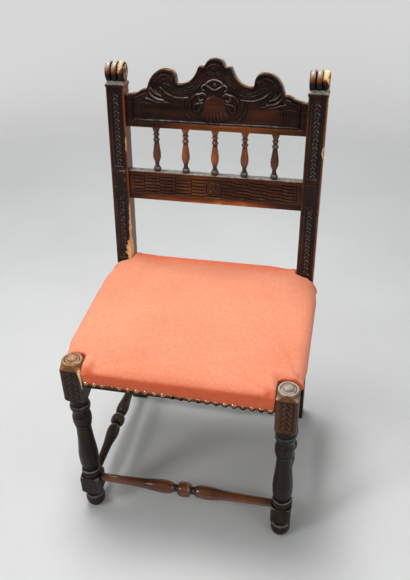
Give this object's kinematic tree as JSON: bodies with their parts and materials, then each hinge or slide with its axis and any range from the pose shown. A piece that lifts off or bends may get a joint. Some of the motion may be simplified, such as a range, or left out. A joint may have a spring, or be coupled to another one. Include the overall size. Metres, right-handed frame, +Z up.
{
  "type": "upholstered side chair",
  "caption": "High-backed joined side chair with turned front legs and stretchers, a carved crest and back rail with turned spindles between, and a nailed stuffed seat.",
  "frame": {"origin": "on the floor under the middle of the chair's bounding box", "axes": "+Z up, the chair faces -Y, +X to the right of a viewer who looks at its front"},
  "size_m": [0.524, 0.4994, 0.985],
  "materials": {
    "stained_wood": "dark brown stained wood, waxed and worn, lighter at the arrises",
    "warm_wood": "lighter red-brown turned wood, waxed and polished by wear",
    "plain_wood": "unstained frame wood, hidden inside the seat",
    "seat_cloth": "faded coral red plain weave",
    "jute": "plain woven jute webbing and hessian",
    "filling": "curled hair and fibre filling, hidden by the cover",
    "nail_brass": "dull antique brass domes, darkened round the edge"
  },
  "bodies": {
    "root": {"corner_block_back_left": "plain_wood", "corner_block_back_right": "plain_wood", "corner_block_front_left": "plain_wood", "corner_block_front_right": "plain_wood", "crest_rail": "stained_wood", "front_leg_left": "stained_wood", "front_leg_right": "stained_wood", "hessian": "jute", "lower_back_rail": "stained_wood", "nails_back": "nail_brass", "nails_front": "nail_brass", "nails_left": "nail_brass", "nails_right": "nail_brass", "rear_post_left": "stained_wood", "rear_post_right": "stained_wood", "seat_cover": "seat_cloth", "seat_rail_back": "plain_wood", "seat_rail_front": "plain_wood", "seat_rail_left": "plain_wood", "seat_rail_right": "plain_wood", "seat_stuffing": "filling", "spindle_1": "warm_wood", "spindle_2": "warm_wood", "spindle_3": "warm_wood", "spindle_4": "warm_wood", "spindle_5": "warm_wood", "stretcher_back": "stained_wood", "stretcher_front": "stained_wood", "stretcher_left": "stained_wood", "stretcher_right": "stained_wood", "webbing_crosswise": "jute", "webbing_lengthwise": "jute"}
  },
  "joints": []
}
